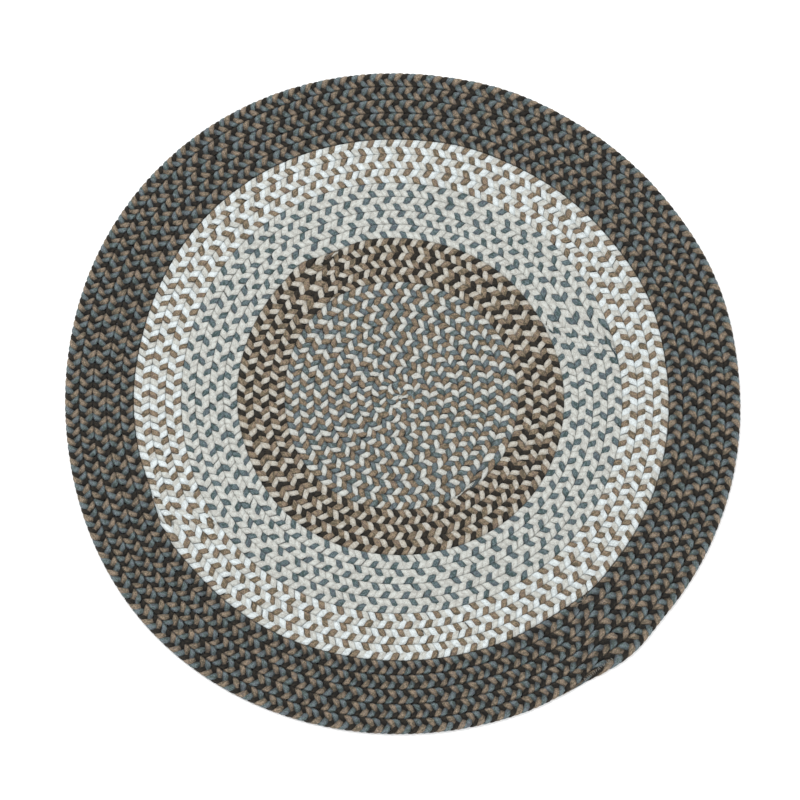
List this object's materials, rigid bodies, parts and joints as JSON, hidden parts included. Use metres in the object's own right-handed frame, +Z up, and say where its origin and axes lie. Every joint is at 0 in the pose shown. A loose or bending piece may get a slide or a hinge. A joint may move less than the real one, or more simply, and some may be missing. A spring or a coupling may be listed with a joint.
{
  "type": "braided rug",
  "caption": "Round floor rug of flat plaited braid, coiled from the middle out and laced edge to edge in colour bands, lying flat.",
  "frame": {"origin": "middle of the coil on the floor, in the plane of the flat underside", "axes": "+Z up, through the rug's thickness; +X and +Y lie in the floor, with -Y towards the picture's viewer"},
  "size_m": [1.2118, 1.2167, 0.011],
  "materials": {
    "centre_braid": "matt woven cotton strands in cream, taupe brown and slate blue",
    "dark_braid": "matt woven cotton strands in cream, brown and near black",
    "slate_braid": "matt woven cotton strands, two cream and one slate teal",
    "white_braid": "matt woven cotton strands in bluish white, cream and brown",
    "outer_braid": "matt woven cotton strands in near black, slate blue and taupe brown"
  },
  "bodies": {
    "root": {"centre_braid": "centre_braid", "dark_braid": "dark_braid", "slate_braid": "slate_braid", "white_braid": "white_braid", "outer_braid": "outer_braid"}
  },
  "joints": []
}
